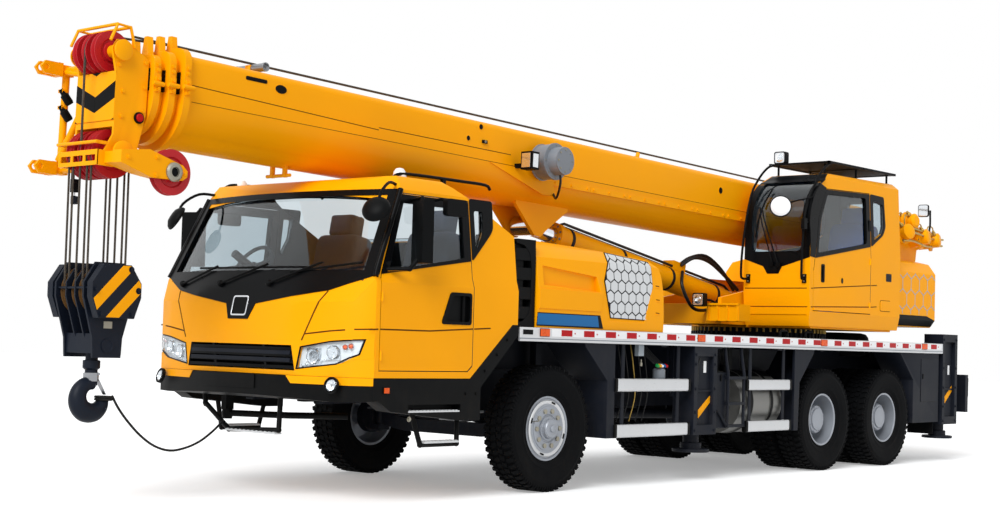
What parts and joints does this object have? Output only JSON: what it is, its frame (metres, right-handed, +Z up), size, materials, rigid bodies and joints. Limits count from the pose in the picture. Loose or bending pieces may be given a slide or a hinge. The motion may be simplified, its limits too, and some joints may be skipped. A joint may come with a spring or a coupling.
{
  "type": "mobile crane",
  "caption": "Road-going truck crane with a slewing upper structure, luffing telescopic boom, hanging hook block, sliding outriggers, driver cab and operator cab.",
  "frame": {"origin": "on the ground, under the middle of the overall length and width", "axes": "+X forward along the carrier, +Y to its left, +Z up"},
  "size_m": [11.9097, 2.9594, 3.49],
  "materials": {
    "paint_yellow": "gloss paint",
    "paint_hood": "gloss paint on moulded panels",
    "frame_dark": "satin paint",
    "deck_dark": "chequer plate paint",
    "rail_silver": "anodised",
    "trim_black": "matt",
    "lamp_clear": "clear lens",
    "glass": "tinted",
    "interior": "matt",
    "seat_blue": "woven",
    "tank_metal": "brushed",
    "tyre": "matt",
    "rim_silver": "silver paint",
    "leg_steel": "oiled",
    "rod_chrome": "polished",
    "sheave_red": "gloss paint",
    "rope": "greased",
    "hook_dark": "satin paint",
    "winch_metal": "satin paint",
    "weight": "gloss paint",
    "cord_black": "matt"
  },
  "bodies": {
    "carrier": {"chassis_frame": "frame_dark", "drivetrain": "frame_dark", "deck": "deck_dark", "side_rails": "rail_silver", "cab_shell": "paint_yellow", "bumper": "trim_black", "lamps": "lamp_clear", "cab_glass": "glass", "cab_interior": "interior", "engine_hood": "paint_hood", "air_intake": "trim_black", "fenders": "frame_dark", "fuel_tank": "tank_metal", "spare_wheel": "tyre", "slew_ring": "frame_dark", "tether": "cord_black"},
    "steer_left": {"knuckle_left": "frame_dark"},
    "steer_right": {"knuckle_right": "frame_dark"},
    "wheel_front_left": {"tyre_front_left": "tyre", "rim_front_left": "rim_silver"},
    "wheel_front_right": {"tyre_front_right": "tyre", "rim_front_right": "rim_silver"},
    "wheel_second_left": {"tyre_second_left": "tyre", "rim_second_left": "rim_silver"},
    "wheel_second_right": {"tyre_second_right": "tyre", "rim_second_right": "rim_silver"},
    "wheel_third_left": {"tyre_third_left": "tyre", "rim_third_left": "rim_silver"},
    "wheel_third_right": {"tyre_third_right": "tyre", "rim_third_right": "rim_silver"},
    "outrigger_front_left": {"beam_front_left": "frame_dark"},
    "outrigger_front_right": {"beam_front_right": "frame_dark"},
    "outrigger_rear_left": {"beam_rear_left": "frame_dark"},
    "outrigger_rear_right": {"beam_rear_right": "frame_dark"},
    "leg_front_left": {"jack_front_left": "leg_steel"},
    "leg_front_right": {"jack_front_right": "leg_steel"},
    "leg_rear_left": {"jack_rear_left": "leg_steel"},
    "leg_rear_right": {"jack_rear_right": "leg_steel"},
    "cab_door_left": {"door_left": "paint_yellow"},
    "cab_door_right": {"door_right": "paint_yellow"},
    "upper": {"turntable": "paint_yellow", "winches": "winch_metal", "operator_cab": "paint_yellow", "operator_glass": "glass", "operator_interior": "seat_blue", "roof_guard": "trim_black", "counterweight": "weight"},
    "op_door": {"operator_door": "paint_yellow"},
    "boom_1": {"boom_base": "paint_yellow", "boom_fittings": "paint_yellow"},
    "boom_2": {"boom_second": "paint_yellow"},
    "boom_3": {"boom_third": "paint_yellow"},
    "boom_4": {"boom_fourth": "paint_yellow", "boom_head": "paint_yellow", "head_sheaves": "sheave_red"},
    "cylinder": {"luff_barrel": "paint_yellow"},
    "piston": {"luff_rod": "rod_chrome"},
    "falls": {"rope_falls": "rope"},
    "block": {"hook_block": "hook_dark"},
    "swivel_hook": {"hook": "hook_dark"}
  },
  "joints": [
    {"name": "steering_left", "type": "hinge", "parent": "carrier", "child": "steer_left", "pos_m": [2.015, 0.8, 0.53], "axis": [0, 0, 1], "range_deg": [-32, 32]},
    {"name": "steering_right", "type": "hinge", "parent": "carrier", "child": "steer_right", "pos_m": [2.015, -0.8, 0.53], "axis": [0, 0, 1], "range_deg": [-33, 33]},
    {"name": "wheel_front_left_spin", "type": "hinge", "parent": "steer_left", "child": "wheel_front_left", "pos_m": [2.015, 1.05, 0.53], "axis": [0, 1, 0], "continuous": true},
    {"name": "wheel_front_right_spin", "type": "hinge", "parent": "steer_right", "child": "wheel_front_right", "pos_m": [2.015, -1.05, 0.53], "axis": [0, 1, 0], "continuous": true},
    {"name": "wheel_second_left_spin", "type": "hinge", "parent": "carrier", "child": "wheel_second_left", "pos_m": [-2.485, 1.072, 0.53], "axis": [0, 1, 0], "continuous": true},
    {"name": "wheel_second_right_spin", "type": "hinge", "parent": "carrier", "child": "wheel_second_right", "pos_m": [-2.485, -1.072, 0.53], "axis": [0, 1, 0], "continuous": true},
    {"name": "wheel_third_left_spin", "type": "hinge", "parent": "carrier", "child": "wheel_third_left", "pos_m": [-3.835, 1.072, 0.53], "axis": [0, 1, 0], "continuous": true},
    {"name": "wheel_third_right_spin", "type": "hinge", "parent": "carrier", "child": "wheel_third_right", "pos_m": [-3.835, -1.072, 0.53], "axis": [0, 1, 0], "continuous": true},
    {"name": "beam_front_left_slide", "type": "slide", "parent": "carrier", "child": "outrigger_front_left", "axis": [0, 1, 0], "range_m": [0, 1.65]},
    {"name": "jack_front_left_slide", "type": "slide", "parent": "outrigger_front_left", "child": "leg_front_left", "axis": [0, 0, -1], "range_m": [0, 0.55]},
    {"name": "beam_front_right_slide", "type": "slide", "parent": "carrier", "child": "outrigger_front_right", "axis": [0, -1, 0], "range_m": [0, 1.65]},
    {"name": "jack_front_right_slide", "type": "slide", "parent": "outrigger_front_right", "child": "leg_front_right", "axis": [0, 0, -1], "range_m": [0, 0.55]},
    {"name": "beam_rear_left_slide", "type": "slide", "parent": "carrier", "child": "outrigger_rear_left", "axis": [0, 1, 0], "range_m": [0, 1.65]},
    {"name": "jack_rear_left_slide", "type": "slide", "parent": "outrigger_rear_left", "child": "leg_rear_left", "axis": [0, 0, -1], "range_m": [0, 0.55]},
    {"name": "beam_rear_right_slide", "type": "slide", "parent": "carrier", "child": "outrigger_rear_right", "axis": [0, -1, 0], "range_m": [0, 1.65]},
    {"name": "jack_rear_right_slide", "type": "slide", "parent": "outrigger_rear_right", "child": "leg_rear_right", "axis": [0, 0, -1], "range_m": [0, 0.55]},
    {"name": "door_left_hinge", "type": "hinge", "parent": "carrier", "child": "cab_door_left", "pos_m": [4.085, 1.253, 1.5], "axis": [0, 0, -1], "range_deg": [0, 68]},
    {"name": "door_right_hinge", "type": "hinge", "parent": "carrier", "child": "cab_door_right", "pos_m": [4.085, -1.253, 1.5], "axis": [0, 0, 1], "range_deg": [0, 68]},
    {"name": "slew", "type": "hinge", "parent": "carrier", "child": "upper", "pos_m": [-3.085, 0, 1.48], "axis": [0, 0, 1], "continuous": true},
    {"name": "operator_door_hinge", "type": "hinge", "parent": "upper", "child": "op_door", "pos_m": [-3.385, 1.223, 2.3], "axis": [0, 0, 1], "range_deg": [0, 70]},
    {"name": "boom_luff", "type": "hinge", "parent": "upper", "child": "boom_1", "pos_m": [-4.885, 0, 2.45], "axis": [0, -1, 0], "range_deg": [0, 78]},
    {"name": "cylinder_swing", "type": "hinge", "parent": "upper", "child": "cylinder", "pos_m": [-2.485, 0, 1.75], "axis": [0, -1, 0], "range_deg": [0, 90.82]},
    {"name": "cylinder_stroke", "type": "slide", "parent": "cylinder", "child": "piston", "axis": [0.9861, 0, 0.1661], "range_m": [0, 2.996]},
    {"name": "telescope", "type": "slide", "parent": "boom_1", "child": "boom_2", "axis": [0.9996, 0, 0.0279], "range_m": [0, 7.8]},
    {"name": "telescope_third", "type": "slide", "parent": "boom_2", "child": "boom_3", "axis": [0.9996, 0, 0.0279], "range_m": [0, 7.81]},
    {"name": "telescope_fourth", "type": "slide", "parent": "boom_3", "child": "boom_4", "axis": [0.9996, 0, 0.0279], "range_m": [0, 7.81]},
    {"name": "hook_plumb", "type": "hinge", "parent": "boom_4", "child": "falls", "pos_m": [5.73473, 0, 2.50054], "axis": [0, 1, 0], "range_deg": [0, 79]},
    {"name": "hoist", "type": "slide", "parent": "falls", "child": "block", "axis": [0, 0, 1], "range_m": [0, 0.4], "deforming": ["rope_falls"]},
    {"name": "hook_swivel", "type": "hinge", "parent": "block", "child": "swivel_hook", "pos_m": [5.73473, 0, 1.07054], "axis": [0, 0, 1], "continuous": true}
  ],
  "couplings": [
    {"joint": "steering_right", "follows": "steering_left", "ratio": 1},
    {"joint": "cylinder_swing", "follows": "boom_luff", "ratio": 1.1515},
    {"joint": "cylinder_stroke", "follows": "boom_luff", "m_per_rad": 2.1936},
    {"joint": "telescope_third", "follows": "telescope", "ratio": 1},
    {"joint": "telescope_fourth", "follows": "telescope", "ratio": 1},
    {"joint": "hook_plumb", "follows": "boom_luff", "ratio": 1}
  ]
}
